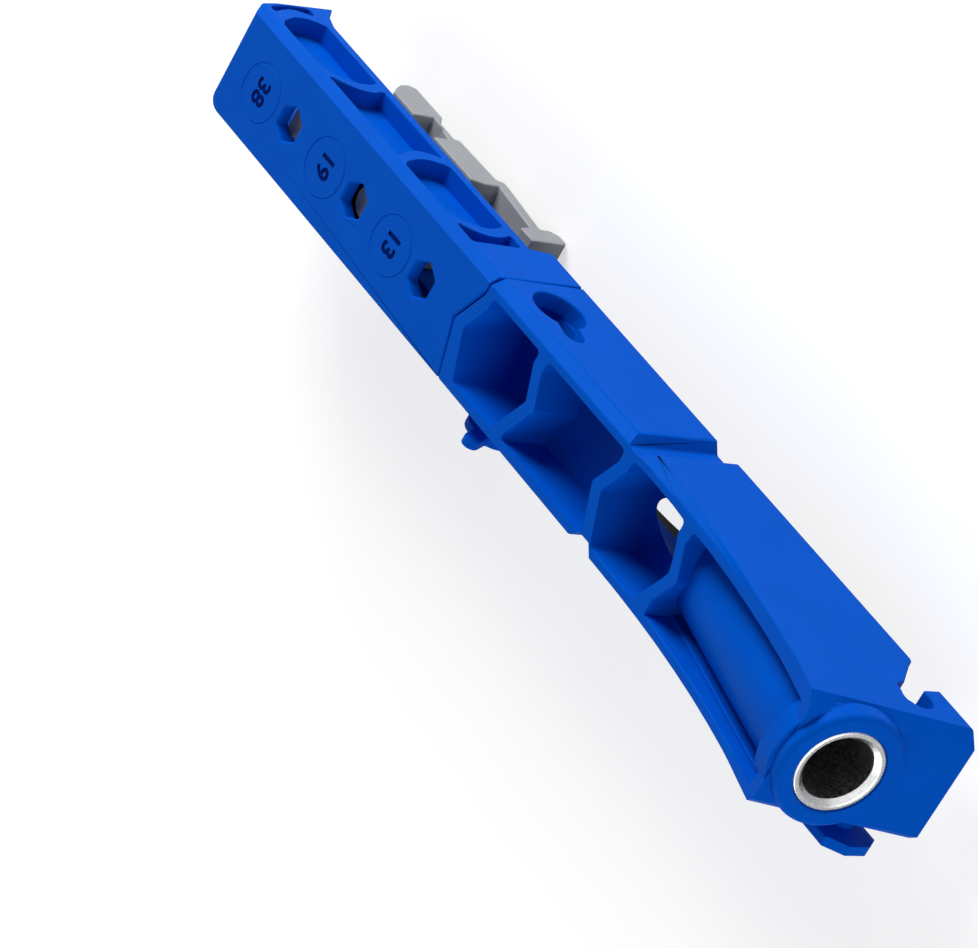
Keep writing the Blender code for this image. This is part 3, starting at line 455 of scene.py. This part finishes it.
def number_cutter(text, x, y, height, depth, paint):
    """The solid of a number that reads across the rail, with its top towards the drill end."""
    curve = bpy.data.curves.new("number_" + text, "FONT")
    curve.body = text
    curve.size = height / DIGIT_SHARE
    curve.extrude = depth
    curve.offset = DIGIT_BOLD
    curve.align_x = "CENTER"
    curve.align_y = "CENTER"
    curve.resolution_u = 3
    flat = bpy.data.objects.new("number_flat", curve)
    bpy.context.scene.collection.objects.link(flat)
    bpy.context.view_layer.update()
    seen = flat.evaluated_get(bpy.context.evaluated_depsgraph_get())
    mesh = bpy.data.meshes.new_from_object(seen)
    bpy.data.objects.remove(flat, do_unlink=True)
    form = bmesh.new()
    form.from_mesh(mesh)
    bmesh.ops.remove_doubles(form, verts=form.verts, dist=NUMBER_WELD)
    bmesh.ops.recalc_face_normals(form, faces=form.faces)
    form.to_mesh(mesh)
    form.free()
    low = Vector((min(v.co.x for v in mesh.vertices), min(v.co.y for v in mesh.vertices), 0.0))
    high = Vector((max(v.co.x for v in mesh.vertices), max(v.co.y for v in mesh.vertices), 0.0))
    mesh.transform(Matrix.Translation(-(low + high) / 2))
    mesh.transform(Matrix.Rotation(math.pi / 2, 4, "Z"))
    mesh.transform(Matrix.Translation((x, y, RAIL_TOP)))
    mesh.materials.append(paint)
    cutter = bpy.data.objects.new("number_" + text, mesh)
    bpy.context.scene.collection.objects.link(cutter)
    return cutter


def ring_cutter(name, x, y, radius, line, depth, paint):
    """A thin ring with a V-shaped section, to engrave a circle."""
    section = (
        (radius - line / 2, depth),
        (radius - line / 2, 0.0),
        (radius, -depth),
        (radius + line / 2, 0.0),
        (radius + line / 2, depth),
    )
    middle = Vector((x, y, RAIL_TOP))
    form = bmesh.new()
    rows = []
    for index in range(RING_STEPS):
        turn = 2 * math.pi * index / RING_STEPS
        way = Vector((math.cos(turn), math.sin(turn), 0.0))
        rows.append([form.verts.new(middle + way * out + Vector((0.0, 0.0, up))) for out, up in section])
    for here, there in zip(rows, rows[1:] + rows[:1]):
        for corner in range(len(section)):
            after = (corner + 1) % len(section)
            form.faces.new((here[corner], there[corner], there[after], here[after]))
    bmesh.ops.recalc_face_normals(form, faces=form.faces)
    mesh = bpy.data.meshes.new(name)
    form.to_mesh(mesh)
    form.free()
    mesh.materials.append(paint)
    cutter = bpy.data.objects.new(name, mesh)
    bpy.context.scene.collection.objects.link(cutter)
    return cutter


class JIG_OT_materials(bpy.types.Operator):
    """Make the plastics and the steel"""

    bl_idname = "jig.materials"
    bl_label = "Plastics and steel"

    def execute(self, context):
        colours = context.scene.jig_colours
        moulded_plastic("blue_moulding", colours.blue, roughness=0.42, grain=2400.0,
                        grain_depth=0.016 * MM, mottle=0.035, gloss=0.03, sheen=SHEEN)
        moulded_plastic("blue_engraving", colours.mark, roughness=0.5, grain=2400.0,
                        grain_depth=0.016 * MM, mottle=0.03, gloss=0.03, sheen=SHEEN)
        moulded_plastic("grey_moulding", colours.grey, roughness=0.52, grain=1900.0,
                        grain_depth=0.03 * MM, mottle=0.04)
        moulded_plastic("black_moulding", colours.black, roughness=0.5, grain=2100.0,
                        grain_depth=0.03 * MM, mottle=0.1)
        ground_steel("ground_steel", colours.steel)
        bore_steel("bore_steel", colours.steel)
        return {"FINISHED"}


def drill_axis():
    """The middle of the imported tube, and the direction of its axis."""
    low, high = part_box("drill_guide_tube")
    return (low + high) / 2, Vector((math.cos(GUIDE_ANGLE), 0.0, -math.sin(GUIDE_ANGLE)))


def closed_seat(piece):
    """Draws the seat in round the pressed-in tube, so that no gap shows at its mouth."""
    middle, axis = drill_axis()
    for vertex in piece.data.vertices:
        foot = middle + axis * (vertex.co - middle).dot(axis)
        out = vertex.co - foot
        if abs(out.length - SEAT_RADIUS) < SEAT_MATCH:
            vertex.co = foot + out.normalized() * (TUBE_RADIUS + SEAT_GAP)


class JIG_OT_guide_body(bpy.types.Operator):
    """Build the moulded guide body"""

    bl_idname = "jig.guide_body"
    bl_label = "Guide body"

    def execute(self, context):
        details = context.scene.jig_details
        piece = welded_copy("moulded_guide_body", "guide_body")
        closed_seat(piece)
        piece.data.materials.append(bpy.data.materials["blue_moulding"])
        middle, axis = drill_axis()

        def plain(point):
            """The hood's corners, the inside of the top pockets, and the groove's end in the chamfer."""
            along = (point - middle).dot(axis)
            out = (point - middle - axis * along).length
            on_hood = 0.0 < along + HALF_TUBE < HOOD_LENGTH and out > HOOD_RADIUS
            in_pocket = (TOP_POCKET_NEAR < point.y < TOP_POCKET_FAR
                         and TOP_POCKET_FLOOR < point.z < RAIL_TOP - TOP_POCKET_RIM)
            at_groove = (abs(point.x - GROOVE_PLACE) < GROOVE_REACH
                         and point.y < GROOVE_CHAMFER_IN and point.z > GROOVE_CHAMFER_LOW)
            return on_hood or in_pocket or at_groove

        rounded_edges(piece, details.edge, plain=plain)
        seated(piece, "jig", "guide_body")
        return {"FINISHED"}


class JIG_OT_guide_tube(bpy.types.Operator):
    """Turn the steel guide tube"""

    bl_idname = "jig.guide_tube"
    bl_label = "Guide tube"

    def execute(self, context):
        piece = welded_copy("turned_guide_tube", "drill_guide_tube")
        piece.data.materials.append(bpy.data.materials["ground_steel"])
        piece.data.materials.append(bpy.data.materials["bore_steel"])
        middle, axis = drill_axis()
        for face in piece.data.polygons:
            out = face.center - middle
            out -= axis * out.dot(axis)
            if face.normal.dot(out) < 0 and abs(face.normal.dot(axis)) < 0.5:
                face.material_index = 1
        rounded_edges(piece, TUBE_EDGE)
        seated(piece, "jig", "drill_guide_tube")
        return {"FINISHED"}


class JIG_OT_base_insert(bpy.types.Operator):
    """Build the black insert of the work face"""

    bl_idname = "jig.base_insert"
    bl_label = "Base insert"

    def execute(self, context):
        details = context.scene.jig_details
        piece = welded_copy("moulded_base_insert", "base_insert")
        for vertex in piece.data.vertices:
            if vertex.co.z < WORK_FACE:
                vertex.co.z -= INSERT_PROUD
        piece.data.materials.append(bpy.data.materials["black_moulding"])
        rounded_edges(piece, details.edge * INSERT_EDGE_SHARE)
        seated(piece, "jig", "base_insert")
        return {"FINISHED"}


class JIG_OT_gauge_rail(bpy.types.Operator):
    """Build the gauge rail with its engraved settings"""

    bl_idname = "jig.gauge_rail"
    bl_label = "Gauge rail"

    def execute(self, context):
        details = context.scene.jig_details
        plastic = bpy.data.materials["blue_moulding"]
        engraving = bpy.data.materials["blue_engraving"]
        piece = welded_copy("moulded_gauge_rail", "gauge_rail")
        piece.data.materials.append(plastic)
        y = details.setting_side
        places = []
        for index, text in enumerate(SETTINGS):
            x = details.setting_start + index * details.setting_pitch
            places.append(Vector((x, y, RAIL_TOP)))
            cut_from(piece, ring_cutter("ring_" + text, x, y, details.ring_radius, details.ring_line,
                                        details.ring_depth, plastic))
            cut_from(piece, number_cutter(text, x, y, details.digit_height, details.digit_depth,
                                          engraving))

        def plain(point):
            """The engraving, the inside of the side pockets, and their rim along the top chamfer."""
            inwards = point.y - RAIL_SIDE
            in_pocket = (SKIN < inwards < SIDE_POCKET_DEPTH + SKIN / 2
                         and point.z > SIDE_POCKET_FOOT)
            on_rim = inwards < 2 * SKIN and abs(point.z - SIDE_POCKET_RIM) < NEAR
            at_number = any((point - place).length < details.ring_radius + NEAR for place in places)
            return in_pocket or on_rim or at_number

        rounded_edges(piece, details.edge, plain=plain)
        seated(piece, "jig", "gauge_rail")
        return {"FINISHED"}


class JIG_OT_thickness_stop(bpy.types.Operator):
    """Build the sliding thickness stop"""

    bl_idname = "jig.thickness_stop"
    bl_label = "Thickness stop"

    def execute(self, context):
        details = context.scene.jig_details
        piece = welded_copy("moulded_thickness_stop", "thickness_stop")
        piece.data.materials.append(bpy.data.materials["grey_moulding"])
        rounded_edges(piece, details.edge)
        seated(piece, "stop", "thickness_stop")
        return {"FINISHED"}


def add_floor(stage):
    mesh = bpy.data.meshes.new("floor")
    form = bmesh.new()
    bmesh.ops.create_grid(form, x_segments=1, y_segments=1, size=FLOOR_REACH)
    form.to_mesh(mesh)
    form.free()
    mesh.materials.append(pale_floor(stage.floor, stage.glow))
    floor = bpy.data.objects.new("floor", mesh)
    floor.location = (0.0, 0.0, CAD_BOX[0].z - FLOOR_GAP)
    bpy.context.scene.collection.objects.link(floor)


def add_surroundings(stage):
    """White for the camera, and in gloss and glass; a weak light from all round otherwise."""
    world = bpy.data.worlds.new("studio")
    world.use_nodes = True
    bpy.context.scene.world = world
    tree = world.node_tree
    back = tree.nodes["Background"]
    back.inputs["Color"].default_value = (1.0, 1.0, 1.0, 1.0)
    strength = node(tree, "ShaderNodeMapRange")
    strength.inputs["To Min"].default_value = stage.sky
    strength.inputs["To Max"].default_value = 1.0
    seen = seen_by(tree, "Is Camera Ray", "Is Transmission Ray", "Is Glossy Ray")
    tree.links.new(seen, strength.inputs["Value"])
    tree.links.new(strength.outputs["Result"], back.inputs["Strength"])


def add_lamp(name, place, power):
    """A square lamp that faces the middle of the object."""
    data = bpy.data.lights.new(name, "AREA")
    data.shape = "SQUARE"
    data.size = LAMP_SIZE
    data.energy = power
    lamp = bpy.data.objects.new(name, data)
    lamp.location = place
    lamp.rotation_euler = (-Vector(place)).to_track_quat("-Z", "Y").to_euler()
    bpy.context.scene.collection.objects.link(lamp)


def add_camera(stage):
    data = bpy.data.cameras.new("camera")
    data.lens = stage.lens
    data.sensor_width = 36.0
    data.clip_start = 0.01
    camera = bpy.data.objects.new("camera", data)
    camera.location = stage.camera_place
    camera.rotation_euler = Euler(stage.camera_turn)
    bpy.context.scene.collection.objects.link(camera)
    bpy.context.scene.camera = camera


class JIG_OT_stage(bpy.types.Operator):
    """Set up the floor, the light and the camera"""

    bl_idname = "jig.stage"
    bl_label = "Studio"

    def execute(self, context):
        stage = context.scene.jig_stage
        context.scene.view_settings.view_transform = "Standard"
        add_floor(stage)
        add_surroundings(stage)
        for name, place in LAMP_PLACES.items():
            add_lamp(name, place, getattr(stage, name))
        add_camera(stage)
        return {"FINISHED"}


class JIG_PT_panel(bpy.types.Panel):
    """Lists the jig's pieces, sizes and colours"""

    bl_idname = "JIG_PT_panel"
    bl_label = "Pocket hole jig"
    bl_space_type = "VIEW_3D"
    bl_region_type = "UI"
    bl_category = "Jig"

    def draw(self, context):
        layout = self.layout
        for group in (context.scene.jig_colours, context.scene.jig_details, context.scene.jig_stage):
            box = layout.box()
            for key in group.__annotations__:
                box.prop(group, key)
        for operator in OPERATORS:
            layout.operator(operator.bl_idname)


OPERATORS = (
    JIG_OT_materials,
    JIG_OT_guide_body,
    JIG_OT_guide_tube,
    JIG_OT_base_insert,
    JIG_OT_gauge_rail,
    JIG_OT_thickness_stop,
    JIG_OT_stage,
)
GROUPS = (("jig_colours", JigColours), ("jig_details", JigDetails), ("jig_stage", JigStage))


def register():
    for name, group in GROUPS:
        bpy.utils.register_class(group)
        setattr(bpy.types.Scene, name, bpy.props.PointerProperty(type=group))
    for kind in OPERATORS + (JIG_PT_panel,):
        bpy.utils.register_class(kind)


def unregister():
    for kind in reversed(OPERATORS + (JIG_PT_panel,)):
        bpy.utils.unregister_class(kind)
    for name, group in reversed(GROUPS):
        delattr(bpy.types.Scene, name)
        bpy.utils.unregister_class(group)


def main():
    register()
    bpy.ops.jig.materials()
    bpy.ops.jig.guide_body()
    bpy.ops.jig.guide_tube()
    bpy.ops.jig.base_insert()
    bpy.ops.jig.gauge_rail()
    bpy.ops.jig.thickness_stop()
    bpy.ops.jig.stage()


if __name__ == "__main__":
    main()
